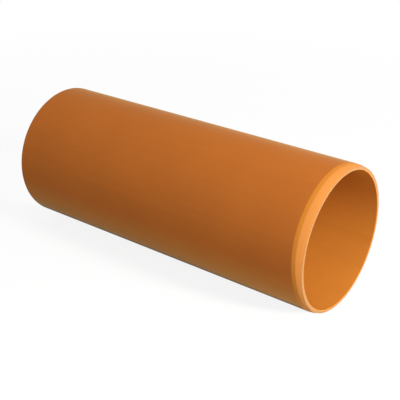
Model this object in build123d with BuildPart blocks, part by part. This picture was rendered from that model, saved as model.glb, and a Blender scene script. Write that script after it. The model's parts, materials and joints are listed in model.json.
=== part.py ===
"""Plain-ended PVC-U drain pipe lying on its side: one extruded tube, sawn square at one end
and turned to a chamfered spigot at the other.

The pipe's axis runs along X with the spigot at +X. The origin is on the floor, under its middle.
"""

import os
from math import radians, tan

from build123d import *

# Driving dimensions, in millimetres and degrees.
outside_diameter = 110.0
wall = 3.5
length = 273.0
chamfer_length = 6.0  # along the axis, from the spigot's tip
chamfer_angle = 15.0  # between the chamfer and the axis
shoulder_length = 3.0  # along the axis, between the chamfer and the full diameter
shoulder_angle = 5.0  # between the shoulder and the axis
edge_break = 0.3  # burr taken off the bore's two mouths and the sawn rim

# Worked out from the driving dimensions.
outside_radius = outside_diameter / 2
bore_radius = outside_radius - wall
axis_height = outside_radius
tip_x = length / 2
chamfer_x = tip_x - chamfer_length
shoulder_x = chamfer_x - shoulder_length
chamfer_radius = outside_radius - shoulder_length * tan(radians(shoulder_angle))
tip_radius = chamfer_radius - chamfer_length * tan(radians(chamfer_angle))
tool_clearance = wall  # how far the turning cut runs out past the tube

pipe_axis = Axis((0, 0, axis_height), (1, 0, 0))
sawn_end = Plane(origin=(-length / 2, 0, axis_height), z_dir=(1, 0, 0))
axial_plane = Plane(origin=(0, 0, axis_height), x_dir=(1, 0, 0), z_dir=(0, -1, 0))


def beyond_tip(radius, angle):
    """The point where a cone of that slope, through radius at the tip, leaves the turning cut."""
    return (tip_x + tool_clearance, radius - tool_clearance * tan(radians(angle)))


with BuildPart() as drain_pipe:
    # The extruded tube
    with BuildSketch(sawn_end):
        Circle(outside_radius)
        Circle(bore_radius, mode=Mode.SUBTRACT)
    extrude(amount=length)

    # Chamfer and shoulder, turned off the spigot's outside
    with BuildSketch(axial_plane):
        with BuildLine():
            Polyline(
                (shoulder_x, outside_radius),
                (chamfer_x, chamfer_radius),
                beyond_tip(tip_radius, chamfer_angle),
                (tip_x + tool_clearance, outside_radius + tool_clearance),
                (shoulder_x, outside_radius + tool_clearance),
                close=True,
            )
        make_face()
    revolve(axis=pipe_axis, mode=Mode.SUBTRACT)

    # Burr taken off both mouths of the bore, and off the sawn rim
    spigot_rims = drain_pipe.edges().filter_by(GeomType.CIRCLE).group_by(Axis.X)[-1]
    sawn_rims = drain_pipe.edges().filter_by(GeomType.CIRCLE).group_by(Axis.X)[0]
    spigot_mouth = spigot_rims.sort_by(SortBy.RADIUS)[0]
    chamfer([spigot_mouth, *sawn_rims], edge_break)

drain_pipe.part.label = "drain_pipe"
os.makedirs("parts", exist_ok=True)
export_step(drain_pipe.part, "parts/drain_pipe.step")
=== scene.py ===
"""Finishes a plain-ended PVC-U drain pipe and sets it on a pale studio floor.

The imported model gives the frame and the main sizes: the pipe lies along X with its chamfered spigot at
+X, and the floor is at Z 0. One surface, the section of the wall carried round the pipe's axis, takes
the place of the plain solid, with the soft edges, die lines and saw marks that the solid leaves out.
"""

import json
import math

import bpy
import numpy as np
from bpy.props import FloatProperty, FloatVectorProperty, IntProperty, PointerProperty
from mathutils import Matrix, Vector


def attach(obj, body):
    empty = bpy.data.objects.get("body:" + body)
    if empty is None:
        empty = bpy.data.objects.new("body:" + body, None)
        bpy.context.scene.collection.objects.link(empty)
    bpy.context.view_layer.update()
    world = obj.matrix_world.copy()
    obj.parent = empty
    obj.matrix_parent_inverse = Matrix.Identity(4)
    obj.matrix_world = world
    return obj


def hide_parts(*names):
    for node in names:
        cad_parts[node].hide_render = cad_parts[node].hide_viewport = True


bl_info = {
    "name": "PVC-U Drain Pipe",
    "version": (1, 0, 0),
    "blender": (4, 5, 0),
    "location": "View3D > Sidebar > Drain Pipe",
    "description": "The finished surfaces of a plain-ended drain pipe, with its floor, light and camera",
    "category": "Add Mesh",
}

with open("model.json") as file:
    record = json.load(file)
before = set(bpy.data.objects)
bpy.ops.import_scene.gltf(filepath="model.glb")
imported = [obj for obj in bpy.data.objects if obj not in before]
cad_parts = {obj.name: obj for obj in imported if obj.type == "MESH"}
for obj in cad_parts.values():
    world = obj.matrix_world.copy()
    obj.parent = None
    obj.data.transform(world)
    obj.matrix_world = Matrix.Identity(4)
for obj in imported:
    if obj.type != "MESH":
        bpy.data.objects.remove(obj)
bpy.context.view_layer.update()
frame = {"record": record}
mounts = {mount["name"]: mount for mount in frame["record"]["mounts"]}

MM = 0.001
PIPE_NODE = "drain_pipe"

# Zones of the pipe's surface, in the order of its materials
SKIN, SHOULDER, CHAMFER, TIP, BORE, SAWN = range(6)


def linear(hex_colour):
    """The linear red, green and blue of an sRGB hex colour such as #B4662A."""
    srgb = np.array([int(hex_colour[i : i + 2], 16) for i in (1, 3, 5)]) / 255
    low = srgb / 12.92
    high = ((srgb + 0.055) / 1.055) ** 2.4
    return tuple(float(value) for value in np.where(srgb <= 0.04045, low, high))


# Sizes and colours that a user would change


class PipeSizes(bpy.types.PropertyGroup):
    """Sizes of the pipe's section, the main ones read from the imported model."""

    outside_radius: FloatProperty(
        name="Outside radius",
        description="Radius of the extruded outside wall",
        default=mounts["spigot"]["dims"]["r_mm"] * MM,
        unit="LENGTH",
    )
    bore_radius: FloatProperty(
        name="Bore radius",
        description="Radius of the bore",
        default=mounts["bore"]["dims"]["r_mm"] * MM,
        unit="LENGTH",
    )
    axis_height: FloatProperty(
        name="Axis height",
        description="Height of the pipe's axis above the floor",
        default=mounts["spigot"]["pos_m"][2],
        unit="LENGTH",
    )
    sawn_x: FloatProperty(
        name="Sawn end",
        description="Where the sawn end stands along the axis",
        default=mounts["sawn_end"]["pos_m"][0],
        unit="LENGTH",
    )
    tip_x: FloatProperty(
        name="Spigot tip",
        description="Where the chamfered end stands along the axis",
        default=mounts["chamfered_end"]["pos_m"][0],
        unit="LENGTH",
    )
    chamfer_length: FloatProperty(
        name="Chamfer length",
        description="Length of the chamfer along the axis, from the tip, where it is longest",
        default=6 * MM,
        unit="LENGTH",
    )
    chamfer_unevenness: FloatProperty(
        name="Chamfer unevenness",
        description="How much shorter the chamfer is across the narrow way of the slightly oval pipe",
        default=3.4 * MM,
        unit="LENGTH",
    )
    chamfer_longest: FloatProperty(
        name="Chamfer longest at",
        description="Angle from the top, towards the back, at which the chamfer is longest",
        default=math.radians(-38),
        subtype="ANGLE",
    )
    chamfer_angle: FloatProperty(
        name="Chamfer angle",
        description="Angle between the chamfer and the axis",
        default=math.radians(15),
        subtype="ANGLE",
    )
    shoulder_length: FloatProperty(
        name="Shoulder length",
        description="Length of the shallow band between the chamfer and the full diameter",
        default=3 * MM,
        unit="LENGTH",
    )
    shoulder_angle: FloatProperty(
        name="Shoulder angle",
        description="Angle between the shoulder and the axis",
        default=math.radians(5),
        subtype="ANGLE",
    )
    edge_radius: FloatProperty(
        name="Edge radius",
        description="Rounding where the burr was taken off the bore's mouths and the sawn rim",
        default=0.3 * MM,
        unit="LENGTH",
    )
    tip_edge_radius: FloatProperty(
        name="Tip edge radius",
        description="Rounding of the edge that the tool leaves between chamfer and tip",
        default=0.3 * MM,
        unit="LENGTH",
    )
    bevel_blend: FloatProperty(
        name="Bevel blend",
        description="Radius that softens the two shallow edges of the shoulder",
        default=3 * MM,
        unit="LENGTH",
    )
    segments: IntProperty(
        name="Segments",
        description="Steps of the surface round the pipe's axis",
        default=864,
    )


class PipeRelief(bpy.types.PropertyGroup):
    """Fine relief that the die and the saw leave."""

    die_line_depth: FloatProperty(
        name="Die line depth",
        description="Depth of the deepest lines that the die leaves along the outside",
        default=0.03 * MM,
        unit="LENGTH",
    )
    mandrel_line_depth: FloatProperty(
        name="Mandrel line depth",
        description="Depth of the deepest lines that the mandrel leaves along the bore",
        default=0.04 * MM,
        unit="LENGTH",
    )
    saw_mark_depth: FloatProperty(
        name="Saw mark depth",
        description="Depth of the arcs that the blade leaves on the sawn end",
        default=0.05 * MM,
        unit="LENGTH",
    )
    saw_mark_pitch: FloatProperty(
        name="Saw mark pitch",
        description="Distance from one saw mark to the next",
        default=1.8 * MM,
        unit="LENGTH",
    )
    saw_radius: FloatProperty(
        name="Saw radius",
        description="Radius of the saw blade, whose centre stood above and behind the pipe",
        default=150 * MM,
        unit="LENGTH",
    )


class PipeFinish(bpy.types.PropertyGroup):
    """Colours and gloss of the pipe's surfaces."""

    skin_colour: FloatVectorProperty(
        name="Skin",
        description="Golden-brown skin of the extruded wall",
        default=linear("#B26428"),
        subtype="COLOR",
    )
    bore_colour: FloatVectorProperty(
        name="Bore",
        description="Cleaner and slightly paler skin of the bore",
        default=linear("#BC742B"),
        subtype="COLOR",
    )
    shoulder_colour: FloatVectorProperty(
        name="Shoulder",
        description="Skin that the tool has only shaved",
        default=linear("#BF7528"),
        subtype="COLOR",
    )
    chamfer_colour: FloatVectorProperty(
        name="Chamfer",
        description="Paler PVC-U where the tool has cut through the skin",
        default=linear("#B77436"),
        subtype="COLOR",
    )
    tip_colour: FloatVectorProperty(
        name="Tip",
        description="Cut edge of the spigot, dulled by standing on the ground",
        default=linear("#845F3C"),
        subtype="COLOR",
    )
    sawn_colour: FloatVectorProperty(
        name="Sawn",
        description="Pale, dry-looking PVC-U of the sawn end",
        default=linear("#C08142"),
        subtype="COLOR",
    )
    fleck_colour: FloatVectorProperty(
        name="Flecks",
        description="Pale flecks of filler and bruised plastic",
        default=linear("#DDA564"),
        subtype="COLOR",
    )
    # This grey tint of the lower side is dust and a painted reflection of the pale floor
    dust_and_reflection_colour: FloatVectorProperty(
        name="Dust",
        description="Dust that the lower side has picked up from the ground",
        default=linear("#A09046"),
        subtype="COLOR",
    )
    film_colour: FloatVectorProperty(
        name="Film",
        description="Faint olive film of plastic that was stored outdoors, which shows at a slant",
        default=linear("#77804C"),
        subtype="COLOR",
    )
    film_roughness: FloatProperty(
        name="Film roughness",
        description="How far the film spreads from the rims of what is seen",
        default=0.3,
        subtype="FACTOR",
    )
    skin_roughness: FloatProperty(
        name="Skin roughness",
        description="Roughness of the satin skin",
        default=0.45,
        subtype="FACTOR",
    )
    turned_roughness: FloatProperty(
        name="Turned roughness",
        description="Roughness of the shoulder, the chamfer and the tip",
        default=0.6,
        subtype="FACTOR",
    )
    sawn_roughness: FloatProperty(
        name="Sawn roughness",
        description="Roughness of the sawn end",
        default=0.7,
        subtype="FACTOR",
    )


class StudioSettings(bpy.types.PropertyGroup):
    """Floor, light and camera."""

    floor_radius: FloatProperty(
        name="Floor radius",
        description="Radius of the round floor",
        default=8.0,
        unit="LENGTH",
    )
    bounce_colour: FloatVectorProperty(
        name="Bounce",
        description="Colour of the floor in the light that it throws back on the pipe",
        default=linear("#C6C6C6"),
        subtype="COLOR",
    )
    paper_colour: FloatVectorProperty(
        name="Paper",
        description="Colour of the floor as it is seen",
        default=linear("#F2F2F2"),
        subtype="COLOR",
    )
    sky_strength: FloatProperty(
        name="Surroundings",
        description="Light on the pipe from the pale surroundings, where 1 is white",
        default=0.5,
    )
    ceiling_strength: FloatProperty(
        name="Ceiling",
        description="How bright the dim ceiling above the white walls looks, where 1 is white",
        default=0.1,
    )
    key_power: FloatProperty(
        name="Key power",
        description="Power of the soft lamp beyond the spigot",
        default=20.5,
        unit="POWER",
    )
    top_power: FloatProperty(
        name="Top power",
        description="Power of the weak lamp overhead",
        default=1.0,
        unit="POWER",
    )
    camera_azimuth: FloatProperty(
        name="Camera azimuth",
        description="Direction of the camera round the pipe, from the front towards the spigot",
        default=math.radians(37.973),
        subtype="ANGLE",
    )
    camera_elevation: FloatProperty(
        name="Camera elevation",
        description="Angle of the camera above the floor",
        default=math.radians(25.774),
        subtype="ANGLE",
    )
    camera_distance: FloatProperty(
        name="Camera distance",
        description="Distance from the camera to the point it looks at",
        default=0.67626,
        unit="LENGTH",
    )
    camera_aim: FloatVectorProperty(
        name="Camera aim",
        description="Point that the camera looks at",
        default=(7.874 * MM, 1.826 * MM, 47.949 * MM),
        subtype="XYZ",
        unit="LENGTH",
    )
    camera_lens: FloatProperty(
        name="Camera lens",
        description="Focal length on a sensor 36 mm wide",
        default=76.869,
        unit="CAMERA",
    )


# The pipe's surface

# Zone and number of steps of the run that follows each corner of the section
RUNS = ((SKIN, 12), (SHOULDER, 6), (CHAMFER, 10), (TIP, 4), (BORE, 12), (SAWN, 12))
ARC_STEPS = 4
# Length of the first and last step of a run, which keeps the shading of an edge close to the edge
EDGE_STEP = 0.15 * MM
LARGEST_EDGE_SHARE = 0.1


def section_corners(sizes, angle):
    """Corners of the wall's section as (place along the axis, distance from the axis, rounding), by angle.

    They go from the sawn rim along the outside to the tip and back along the bore. Each bevel comes
    nearer to the axis by its length times the tangent of its angle. The pipe is slightly oval, so the
    round tool cuts less across its narrow way: from where it is longest, the chamfer's length falls with
    the fourth power of the sine of the angle.
    """
    narrow_share = np.sin(angle - sizes.chamfer_longest) ** 4
    chamfer_length = sizes.chamfer_length - sizes.chamfer_unevenness * narrow_share
    chamfer_x = sizes.tip_x - chamfer_length
    shoulder_x = chamfer_x - sizes.shoulder_length
    chamfer_radius = sizes.outside_radius - sizes.shoulder_length * math.tan(sizes.shoulder_angle)
    tip_radius = chamfer_radius - chamfer_length * math.tan(sizes.chamfer_angle)
    corners = (
        (sizes.sawn_x, sizes.outside_radius, sizes.edge_radius),
        (shoulder_x, sizes.outside_radius, sizes.bevel_blend),
        (chamfer_x, chamfer_radius, sizes.bevel_blend),
        (sizes.tip_x, tip_radius, sizes.tip_edge_radius),
        (sizes.tip_x, sizes.bore_radius, sizes.edge_radius),
        (sizes.sawn_x, sizes.bore_radius, sizes.edge_radius),
    )
    everywhere = np.ones(len(angle))
    return np.array([[everywhere * value for value in corner] for corner in corners]).swapaxes(1, 2)


def rounded_corners(corners):
    """An arc for each corner of a closed section, as stations (along, radius) by angle.

    A corner's arc has its rounding as radius and touches both of its sides: its centre lies on the line
    that halves the corner, at the rounding divided by the cosine of half the turn.
    """
    points = corners[..., :2]
    rounding = corners[..., 2:]
    before = np.roll(points, 1, axis=0) - points
    after = np.roll(points, -1, axis=0) - points
    before /= np.linalg.norm(before, axis=-1, keepdims=True)
    after /= np.linalg.norm(after, axis=-1, keepdims=True)
    half_turn = (np.pi - np.arccos((before * after).sum(axis=-1, keepdims=True))) / 2
    inward = (before + after) / np.linalg.norm(before + after, axis=-1, keepdims=True)
    onward = (after - before) / np.linalg.norm(after - before, axis=-1, keepdims=True)
    centre = points + inward * rounding / np.cos(half_turn)
    sweep = np.linspace(-half_turn, half_turn, ARC_STEPS + 1, axis=1)
    turned = np.sin(sweep) * onward[:, None] - np.cos(sweep) * inward[:, None]
    return centre[:, None] + rounding[:, None] * turned


def section_stations(sizes, angle):
    """Stations (along, radius) round the closed section by angle, and the zone of the face after each one.

    Between two arcs runs a straight line, divided evenly apart from its two short end steps.
    """
    arcs = rounded_corners(section_corners(sizes, angle))
    stations, zones = [], []
    for arc, next_arc, (zone, steps) in zip(arcs, np.roll(arcs, -1, axis=0), RUNS):
        start, stop = arc[-1], next_arc[0]
        length = np.linalg.norm(stop - start, axis=-1, keepdims=True)
        edge_share = np.minimum(EDGE_STEP / length, LARGEST_EDGE_SHARE)
        share = np.linspace(edge_share, 1 - edge_share, steps + 1)
        stations += [arc, start + share * (stop - start)]
        zones += [zone] * (len(arc) + len(share))
    return np.concatenate(stations), np.array(zones)


def drawn_lines(angle, depth, slowest, fastest, seed):
    """Depth, round the pipe, of the lines that a tool leaves on drawn plastic.

    It is a sum of cosine waves: wave k goes k times round the pipe, with a height of 1 / k and a phase of
    its own. The sum is moved and scaled to lie between 0 and the depth.
    """
    waves = np.arange(slowest, fastest + 1)
    phases = np.random.default_rng(seed).uniform(0, 2 * np.pi, len(waves))
    height = (np.cos(waves * angle[:, None] + phases) / waves).sum(axis=1)
    return depth * (height - height.min()) / np.ptp(height)


def saw_centre(sizes, relief):
    """Where the middle of the saw blade stood in the plane of the sawn end: above and behind the pipe."""
    lean = math.radians(35)
    reach = relief.saw_radius - sizes.outside_radius / 2
    across = reach * math.sin(lean)
    return sizes.sawn_x, across, sizes.axis_height + reach * math.cos(lean)


def saw_marks(y, z, sizes, relief):
    """Depth of the saw marks on the sawn end: a cosine of the distance from the middle of the blade."""
    centre_y, centre_z = saw_centre(sizes, relief)[1:]
    distance = np.hypot(y - centre_y, z - centre_z)
    wave = np.cos(2 * np.pi * distance / relief.saw_mark_pitch)
    return relief.saw_mark_depth * (1 + wave) / 2


def pipe_grid(sizes, relief):
    """Points of the pipe's surface on a grid of stations by steps round the axis, and the stations' zones.

    A point is its station turned round the axis. The die lines then cut into the outside, the mandrel
    lines into the bore and the saw marks into the sawn end, wherever they lie deeper than the section.
    """
    angle = np.linspace(0, 2 * np.pi, sizes.segments, endpoint=False)
    stations, zones = section_stations(sizes, angle)
    along, radius = np.moveaxis(stations, -1, 0)

    die_lines = drawn_lines(angle, relief.die_line_depth, slowest=9, fastest=110, seed=3)
    mandrel_lines = drawn_lines(angle, relief.mandrel_line_depth, slowest=4, fastest=60, seed=5)
    radius = np.clip(radius, sizes.bore_radius + mandrel_lines, sizes.outside_radius - die_lines)

    y = radius * np.sin(angle)
    z = sizes.axis_height + radius * np.cos(angle)
    along = np.maximum(along, sizes.sawn_x + saw_marks(y, z, sizes, relief))
    return np.stack([along, y, z], axis=-1), zones


def grid_faces(rows, columns):
    """Quads of a grid that closes on itself both ways, as rows of four point numbers."""
    row, column = np.meshgrid(np.arange(rows), np.arange(columns), indexing="ij")
    next_row = (row + 1) % rows
    next_column = (column + 1) % columns
    corners = [(row, column), (row, next_column), (next_row, next_column), (next_row, column)]
    return np.stack([r * columns + c for r, c in corners], axis=-1).reshape(-1, 4)


def build_mesh(name, points, faces, zones, materials):
    """A smooth-shaded mesh object at the origin, with one material for each zone of faces."""
    mesh = bpy.data.meshes.new(name)
    mesh.from_pydata(points, [], faces)
    mesh.polygons.foreach_set("use_smooth", np.ones(len(faces), dtype=bool))
    mesh.polygons.foreach_set("material_index", zones)
    for material in materials:
        mesh.materials.append(material)
    mesh.validate()
    mesh.update()
    piece = bpy.data.objects.new(name, mesh)
    bpy.context.scene.collection.objects.link(piece)
    return piece


# Materials

PVC_IOR = 1.54
# Well below the usual 0.5, because the matt skin and the cuts show next to no highlight
SKIN_SPECULAR = 0.015
CUT_SPECULAR = 0.05
# Distance from crest to crest of a Wave texture at scale 1
WAVE_TEXTURE_PITCH = 2 * math.pi / 20
# Nearly all values of a Noise texture lie in this range
NOISE_RANGE = {"From Min": 0.3, "From Max": 0.7}


def add_node(tree, kind, values=None, links=None, **settings):
    """Adds a shader node, with its settings, its sockets' values and the links into its sockets."""
    node = tree.nodes.new("ShaderNode" + kind)
    for name, value in settings.items():
        setattr(node, name, value)
    for socket, value in (values or {}).items():
        node.inputs[socket].default_value = value
    for socket, source in (links or {}).items():
        tree.links.new(source, node.inputs[socket])
    return node


def new_material(name):
    """A material whose tree holds only its output, with that tree and the output's surface socket."""
    material = bpy.data.materials.new(name)
    material.use_nodes = True
    material.node_tree.nodes.clear()
    output = add_node(material.node_tree, "OutputMaterial")
    return material, material.node_tree, output.inputs["Surface"]


def extruded_pvc(name, colour, line_width, film, dust_and_reflection, painted_shade, finish):
    """PVC-U drawn from a die and cooled in a sizing sleeve, with lines of the given width along the pipe.

    The film is the weight of the sheen that it gives, the next number the share at the bottom of the pipe
    of a grey tint that is dust and a painted reflection of the floor, and the last how much of the colour a
    painted contact shade takes away along the line that the pipe lies on.
    """
    # The sleeve leaves an even satin skin, on which light lies in broad soft bands. The die draws faint
    # lines of colour and gloss along it, the vacuum a slight orange peel, and filler a few pale flecks.
    # A faint film shows as an olive sheen at a slant. Towards the bottom a grey tint, dust and a painted
    # reflection of the floor, dulls the lower side, and a painted contact shade darkens the line that it
    # lies on.
    line_length = 300 * MM
    cloud_size = 45 * MM
    peel_size = 3 * MM
    peel_depth = 0.008 * MM
    fleck_spacing = 9 * MM
    # Real flecks are about 0.2 mm across: they are drawn larger, because finer ones don't show
    fleck_radius = 0.35 * MM
    fleck_strength = 0.6
    line_contrast = 0.025
    cloud_contrast = 0.03
    roughness_spread = 0.05
    # Heights above the floor
    # The grey tint of dust and painted floor reflection is full at the first height and gone at the second
    full_tint_height = 13 * MM
    untinted_height = 49 * MM
    # The painted contact shade: the colour darkens below these heights, along the line that the pipe lies
    # on
    painted_shade_height = 15 * MM
    unshaded_height = 20.5 * MM

    material, tree, surface = new_material(name)
    place = add_node(tree, "TexCoord").outputs["Object"]
    drawn_out = add_node(
        tree,
        "Mapping",
        {"Scale": (1 / line_length, 1 / line_width, 1 / line_width)},
        {"Vector": place},
    ).outputs["Vector"]
    lines = add_node(
        tree, "TexNoise", {"Scale": 1.0, "Detail": 3.0}, {"Vector": drawn_out}
    ).outputs["Fac"]
    clouds = add_node(
        tree, "TexNoise", {"Scale": 1 / cloud_size, "Detail": 2.0}, {"Vector": place}
    ).outputs["Fac"]
    peel = add_node(
        tree, "TexNoise", {"Scale": 1 / peel_size, "Detail": 1.0}, {"Vector": place}
    ).outputs["Fac"]
    fleck = add_node(tree, "TexVoronoi", {"Scale": 1 / fleck_spacing}, {"Vector": place})

    line_tone = add_node(
        tree,
        "MapRange",
        {**NOISE_RANGE, "To Min": 1 - line_contrast, "To Max": 1 + line_contrast},
        {"Value": lines},
    ).outputs["Result"]
    cloud_tone = add_node(
        tree,
        "MapRange",
        {**NOISE_RANGE, "To Min": 1 - cloud_contrast, "To Max": 1 + cloud_contrast},
        {"Value": clouds},
    ).outputs["Result"]
    tone = add_node(tree, "Math", links={0: line_tone, 1: cloud_tone}, operation="MULTIPLY").outputs[0]
    toned = add_node(
        tree, "VectorMath", {0: colour}, {"Scale": tone}, operation="SCALE"
    ).outputs["Vector"]
    fleck_share = add_node(
        tree,
        "MapRange",
        {
            "From Min": 0.0,
            "From Max": fleck_radius / fleck_spacing,
            "To Min": fleck_strength,
            "To Max": 0.0,
        },
        {"Value": fleck.outputs["Distance"]},
    ).outputs["Result"]
    flecked = add_node(
        tree,
        "Mix",
        {"B": (*finish.fleck_colour, 1)},
        {"Factor": fleck_share, "A": toned},
        data_type="RGBA",
    ).outputs["Result"]
    height = add_node(tree, "SeparateXYZ", links={0: place}).outputs["Z"]
    # Grey tint towards the bottom: dust and a painted reflection of the pale floor
    dust_and_reflection_share = add_node(
        tree,
        "MapRange",
        {"From Min": full_tint_height, "From Max": untinted_height, "To Min": dust_and_reflection, "To Max": 0.0},
        {"Value": height},
    ).outputs["Result"]
    dust_and_reflection_mix = add_node(
        tree,
        "Mix",
        {"B": (*finish.dust_and_reflection_colour, 1)},
        {"Factor": dust_and_reflection_share, "A": flecked},
        data_type="RGBA",
    ).outputs["Result"]
    # Painted contact shade: darker towards the line that the pipe lies on
    painted_shade_tone = add_node(
        tree,
        "MapRange",
        {"From Min": painted_shade_height, "From Max": unshaded_height, "To Min": 1 - painted_shade, "To Max": 1.0},
        {"Value": height},
    ).outputs["Result"]
    painted_shaded = add_node(
        tree, "VectorMath", links={0: dust_and_reflection_mix, "Scale": painted_shade_tone}, operation="SCALE"
    ).outputs["Vector"]
    gloss = add_node(
        tree,
        "MapRange",
        {
            **NOISE_RANGE,
            "To Min": finish.skin_roughness - roughness_spread,
            "To Max": finish.skin_roughness + roughness_spread,
        },
        {"Value": lines},
    ).outputs["Result"]
    peeled = add_node(tree, "Bump", {"Distance": peel_depth}, {"Height": peel}).outputs["Normal"]
    shader = add_node(
        tree,
        "BsdfPrincipled",
        {
            "IOR": PVC_IOR,
            "Specular IOR Level": SKIN_SPECULAR,
            "Sheen Weight": film,
            "Sheen Roughness": finish.film_roughness,
            "Sheen Tint": (*finish.film_colour, 1),
        },
        {"Base Color": painted_shaded, "Roughness": gloss, "Normal": peeled},
    )
    tree.links.new(shader.outputs["BSDF"], surface)
    return material


def cut_pvc(name, colour, roughness, film, finish, mark_pitch, mark_centre, mark_depth, **mark_shape):
    """PVC-U with its skin cut away, and a tool's marks at a pitch along X or round a centre."""
    # The tool tears the plastic a little, so a cut is paler and drier than the skin. Its marks show as
    # fine lines of light and shade, with a short grit between them.
    # Real grit is about 0.1 mm: it is drawn coarser, because finer grit doesn't show
    grit_size = 0.7 * MM
    grit_depth = 0.012 * MM
    grit_contrast = 0.04
    mark_contrast = 0.02
    # Towards the edge at the marks' centre the plastic was bent most, and whitened
    whitened_length = 6 * MM
    whitened_tone = 1.12

    material, tree, surface = new_material(name)
    place = add_node(tree, "TexCoord").outputs["Object"]
    from_centre = add_node(
        tree, "Mapping", {"Location": -Vector(mark_centre)}, {"Vector": place}
    ).outputs["Vector"]
    marks = add_node(
        tree,
        "TexWave",
        {"Scale": WAVE_TEXTURE_PITCH / mark_pitch, "Distortion": 0.0},
        {"Vector": from_centre},
        **mark_shape,
    ).outputs["Fac"]
    grit = add_node(
        tree, "TexNoise", {"Scale": 1 / grit_size, "Detail": 2.0}, {"Vector": place}
    ).outputs["Fac"]

    to_edge = add_node(tree, "SeparateXYZ", links={0: from_centre}).outputs["X"]
    edge_tone = add_node(
        tree,
        "MapRange",
        {"From Min": -whitened_length, "From Max": 0.0, "To Min": 1.0, "To Max": whitened_tone},
        {"Value": to_edge},
    ).outputs["Result"]
    mark_tone = add_node(
        tree,
        "MapRange",
        {"To Min": 1 - mark_contrast, "To Max": 1 + mark_contrast},
        {"Value": marks},
    ).outputs["Result"]
    grit_tone = add_node(
        tree,
        "MapRange",
        {**NOISE_RANGE, "To Min": 1 - grit_contrast, "To Max": 1 + grit_contrast},
        {"Value": grit},
    ).outputs["Result"]
    mark_grit_tone = add_node(
        tree, "Math", links={0: mark_tone, 1: grit_tone}, operation="MULTIPLY"
    ).outputs[0]
    tone = add_node(
        tree, "Math", links={0: mark_grit_tone, 1: edge_tone}, operation="MULTIPLY"
    ).outputs[0]
    toned = add_node(
        tree, "VectorMath", {0: colour}, {"Scale": tone}, operation="SCALE"
    ).outputs["Vector"]
    gritty = add_node(tree, "Bump", {"Distance": grit_depth}, {"Height": grit}).outputs["Normal"]
    marked = add_node(
        tree, "Bump", {"Distance": mark_depth}, {"Height": marks, "Normal": gritty}
    ).outputs["Normal"]
    shader = add_node(
        tree,
        "BsdfPrincipled",
        {
            "IOR": PVC_IOR,
            "Specular IOR Level": CUT_SPECULAR,
            "Roughness": roughness,
            "Sheen Weight": film,
            "Sheen Roughness": finish.film_roughness,
            "Sheen Tint": (*finish.film_colour, 1),
        },
        {"Base Color": toned, "Normal": marked},
    )
    tree.links.new(shader.outputs["BSDF"], surface)
    return material


def pipe_materials(sizes, relief, finish):
    """The materials of the pipe's zones, in their order."""
    skin = extruded_pvc(
        "PVC-U extruded skin",
        finish.skin_colour,
        line_width=2.5 * MM,
        film=0.35,
        # Share at the bottom of a grey tint of dust and a painted reflection of the floor
        dust_and_reflection=0.4,
        # How much a painted contact shade darkens the line that the pipe lies on
        painted_shade=0.6,
        finish=finish,
    )
    bore = extruded_pvc(
        "PVC-U extruded bore",
        finish.bore_colour,
        line_width=5 * MM,
        film=0.0,
        dust_and_reflection=0.0,
        painted_shade=0.0,
        finish=finish,
    )
    # The tool's feed is finer than this: it is drawn coarser to show
    feed = {"mark_pitch": 0.8 * MM, "mark_depth": 0.006 * MM}
    tip_middle = (sizes.tip_x, 0, sizes.axis_height)
    along_axis = {"mark_centre": tip_middle, "wave_type": "BANDS", "bands_direction": "X", **feed}
    round_axis = {"mark_centre": tip_middle, "wave_type": "RINGS", "rings_direction": "SPHERICAL", **feed}
    turned = {"roughness": finish.turned_roughness, "film": 0.25, "finish": finish}
    shoulder = cut_pvc("PVC-U shaved skin", finish.shoulder_colour, **turned, **along_axis)
    chamfer = cut_pvc("PVC-U turned chamfer", finish.chamfer_colour, **turned, **along_axis)
    tip = cut_pvc("PVC-U turned tip", finish.tip_colour, **turned, **round_axis)
    sawn = cut_pvc(
        "PVC-U sawn end",
        finish.sawn_colour,
        roughness=finish.sawn_roughness,
        film=0.2,
        finish=finish,
        mark_pitch=relief.saw_mark_pitch,
        mark_centre=saw_centre(sizes, relief),
        mark_depth=0.01 * MM,
        wave_type="RINGS",
        rings_direction="SPHERICAL",
    )
    return [skin, shoulder, chamfer, tip, bore, sawn]


def to_the_eye(tree):
    """1 for rays that look at things, from the camera, a reflection or glass, and 0 for rays of light."""
    path = add_node(tree, "LightPath").outputs
    seen = add_node(
        tree,
        "Math",
        links={0: path["Is Camera Ray"], 1: path["Is Glossy Ray"]},
        operation="MAXIMUM",
    ).outputs[0]
    return add_node(
        tree,
        "Math",
        links={0: seen, 1: path["Is Transmission Ray"]},
        operation="MAXIMUM",
    ).outputs[0]


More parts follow.
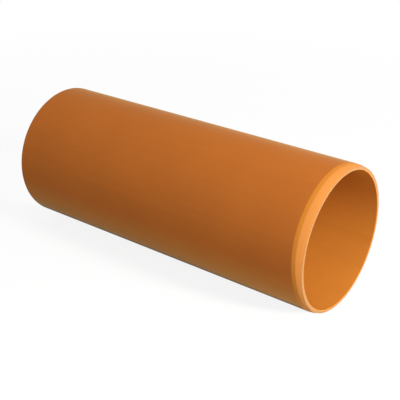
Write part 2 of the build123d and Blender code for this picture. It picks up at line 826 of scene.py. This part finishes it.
def studio_paper(name, sizes, studio):
    """Matt white paper, which shows the pipe's shadow near it and turns plain white farther off."""
    # To the eye it is white, with a pale shadow that deepens where the pipe touches it. The light that it
    # throws back on the pipe is that of a greyer sheet, so that the white of the picture adds nothing to
    # the pipe's underside.
    contact_reach = 13 * MM
    contact_end = 18 * MM
    contact_lift = 0.3
    # Distances are from a line under the pipe, short enough for the contact shade to end with the pipe
    line_end = sizes.tip_x - contact_end
    shadow_reach = 0.12
    white_reach = 0.7
    lift_near = 0.88

    material, tree, surface = new_material(name)
    bounce = add_node(tree, "BsdfDiffuse", {"Color": (*studio.bounce_colour, 1)}).outputs["BSDF"]
    paper = add_node(tree, "BsdfDiffuse", {"Color": (*studio.paper_colour, 1)}).outputs["BSDF"]
    white = add_node(tree, "Emission", {"Color": (1, 1, 1, 1), "Strength": 1.0}).outputs["Emission"]
    place = add_node(tree, "TexCoord").outputs["Object"]
    either_side = add_node(tree, "VectorMath", links={0: place}, operation="ABSOLUTE").outputs["Vector"]
    past_end = add_node(
        tree, "VectorMath", {1: (line_end, 0, 0)}, {0: either_side}, operation="SUBTRACT"
    ).outputs["Vector"]
    off_line = add_node(
        tree, "VectorMath", {1: (0, 0, 0)}, {0: past_end}, operation="MAXIMUM"
    ).outputs["Vector"]
    distance = add_node(tree, "VectorMath", links={0: off_line}, operation="LENGTH").outputs["Value"]
    contact = add_node(
        tree,
        "MapRange",
        {"From Min": contact_reach, "From Max": contact_end, "To Min": contact_lift, "To Max": 1.0},
        {"Value": distance},
    ).outputs["Result"]
    shadow = add_node(
        tree,
        "MapRange",
        {"From Min": shadow_reach, "From Max": white_reach, "To Min": lift_near, "To Max": 1.0},
        {"Value": distance},
    ).outputs["Result"]
    lift = add_node(tree, "Math", links={0: contact, 1: shadow}, operation="MULTIPLY").outputs[0]
    seen = add_node(tree, "MixShader", links={0: lift, 1: paper, 2: white}).outputs["Shader"]
    either = add_node(tree, "MixShader", links={0: to_the_eye(tree), 1: bounce, 2: seen})
    tree.links.new(either.outputs["Shader"], surface)
    return material


def studio_room(name, studio):
    """White walls all round under a dim ceiling, which light the pipe more weakly than they look."""
    wall_top = math.sin(math.radians(25))
    ceiling_edge = math.sin(math.radians(50))

    world = bpy.data.worlds.new(name)
    world.use_nodes = True
    tree = world.node_tree
    tree.nodes.clear()
    direction = add_node(tree, "TexCoord").outputs["Generated"]
    height = add_node(tree, "SeparateXYZ", links={0: direction}).outputs["Z"]
    look = add_node(
        tree,
        "MapRange",
        {
            "From Min": wall_top,
            "From Max": ceiling_edge,
            "To Min": 1.0,
            "To Max": studio.ceiling_strength,
        },
        {"Value": height},
    ).outputs["Result"]
    seen = add_node(tree, "Background", {"Color": (1, 1, 1, 1)}, {"Strength": look})
    lighting = add_node(tree, "Background", {"Color": (1, 1, 1, 1), "Strength": studio.sky_strength})
    either = add_node(
        tree,
        "MixShader",
        links={0: to_the_eye(tree), 1: lighting.outputs[0], 2: seen.outputs[0]},
    )
    add_node(tree, "OutputWorld", links={"Surface": either.outputs["Shader"]})
    return world


# The stage


def bearing(azimuth, elevation):
    """Unit vector towards a direction: azimuth from the front round to the spigot, elevation from level."""
    return Vector(
        (
            math.sin(azimuth) * math.cos(elevation),
            -math.cos(azimuth) * math.cos(elevation),
            math.sin(elevation),
        )
    )


def place_facing(name, data, target, direction, distance):
    """Puts a lamp or camera at a distance from a target, facing it."""
    item = bpy.data.objects.new(name, data)
    item.location = target + direction * distance
    item.rotation_euler = (-direction).to_track_quat("-Z", "Y").to_euler()
    bpy.context.scene.collection.objects.link(item)
    return item


def hang_lamp(name, power, target, width, azimuth, elevation, distance):
    """A round soft lamp that neither the camera nor reflections show, as through a polarising filter."""
    lamp = bpy.data.lights.new(name, "AREA")
    lamp.shape = "DISK"
    lamp.size = width
    lamp.energy = power
    item = place_facing(name, lamp, target, bearing(azimuth, elevation), distance)
    item.visible_camera = False
    item.visible_glossy = False


def lay_floor(sizes, studio):
    """A flat round floor at Z 0, as one face."""
    sides = 64
    turn = np.linspace(0, 2 * np.pi, sides, endpoint=False)
    rim = studio.floor_radius * np.stack([np.cos(turn), np.sin(turn), np.zeros(sides)], axis=1)
    paper = studio_paper("Matt background paper", sizes, studio)
    return build_mesh("floor", rim, np.arange(sides)[None], np.zeros(1, int), [paper])


class DRAINPIPE_OT_make_pipe(bpy.types.Operator):
    """Make the pipe's surface from its section and put it in place of the plain solid"""

    bl_idname = "drainpipe.make_pipe"
    bl_label = "Make Pipe"

    def execute(self, context):
        scene = context.scene
        points, zones = pipe_grid(scene.pipe_sizes, scene.pipe_relief)
        rows, columns = points.shape[:2]
        pipe = build_mesh(
            "pipe_surface",
            points.reshape(-1, 3),
            grid_faces(rows, columns),
            np.repeat(zones, columns),
            pipe_materials(scene.pipe_sizes, scene.pipe_relief, scene.pipe_finish),
        )
        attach(pipe, "root")
        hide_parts(PIPE_NODE)
        return {"FINISHED"}


class DRAINPIPE_OT_make_stage(bpy.types.Operator):
    """Make the floor, the white surroundings, the lamps and the camera"""

    bl_idname = "drainpipe.make_stage"
    bl_label = "Make Stage"

    def execute(self, context):
        scene = context.scene
        studio = scene.pipe_studio
        scene.view_settings.view_transform = "Standard"
        lay_floor(scene.pipe_sizes, studio)
        scene.world = studio_room("White room", studio)

        middle = Vector((0, 0, scene.pipe_sizes.axis_height))
        hang_lamp(
            "Key",
            studio.key_power,
            middle,
            width=0.13,
            azimuth=math.radians(86),
            elevation=math.radians(15.5),
            distance=1.0,
        )
        hang_lamp(
            "Top",
            studio.top_power,
            middle,
            width=0.5,
            azimuth=0.0,
            elevation=math.radians(90),
            distance=0.8,
        )

        view = bpy.data.cameras.new("Camera")
        view.lens = studio.camera_lens
        view.sensor_width = 36
        view.clip_start = 0.01
        back = bearing(studio.camera_azimuth, studio.camera_elevation)
        scene.camera = place_facing(
            "Camera", view, Vector(studio.camera_aim), back, studio.camera_distance
        )
        return {"FINISHED"}


class DRAINPIPE_PT_panel(bpy.types.Panel):
    """The pipe's settings and the buttons that make it and its stage"""

    bl_idname = "DRAINPIPE_PT_panel"
    bl_label = "Drain Pipe"
    bl_space_type = "VIEW_3D"
    bl_region_type = "UI"
    bl_category = "Drain Pipe"

    def draw(self, context):
        scene = context.scene
        pipe_groups = (scene.pipe_sizes, scene.pipe_relief, scene.pipe_finish)
        for groups, operator in (
            (pipe_groups, DRAINPIPE_OT_make_pipe),
            ((scene.pipe_studio,), DRAINPIPE_OT_make_stage),
        ):
            box = self.layout.box()
            for group in groups:
                for setting in group.__annotations__:
                    box.prop(group, setting)
            box.operator(operator.bl_idname)


CLASSES = (
    PipeSizes,
    PipeRelief,
    PipeFinish,
    StudioSettings,
    DRAINPIPE_OT_make_pipe,
    DRAINPIPE_OT_make_stage,
    DRAINPIPE_PT_panel,
)


def register():
    for item in CLASSES:
        bpy.utils.register_class(item)
    bpy.types.Scene.pipe_sizes = PointerProperty(type=PipeSizes)
    bpy.types.Scene.pipe_relief = PointerProperty(type=PipeRelief)
    bpy.types.Scene.pipe_finish = PointerProperty(type=PipeFinish)
    bpy.types.Scene.pipe_studio = PointerProperty(type=StudioSettings)


def unregister():
    del bpy.types.Scene.pipe_studio
    del bpy.types.Scene.pipe_finish
    del bpy.types.Scene.pipe_relief
    del bpy.types.Scene.pipe_sizes
    for item in reversed(CLASSES):
        bpy.utils.unregister_class(item)


def main():
    """Makes the pipe and its stage."""
    register()
    bpy.ops.drainpipe.make_pipe()
    bpy.ops.drainpipe.make_stage()


if __name__ == "__main__":
    main()
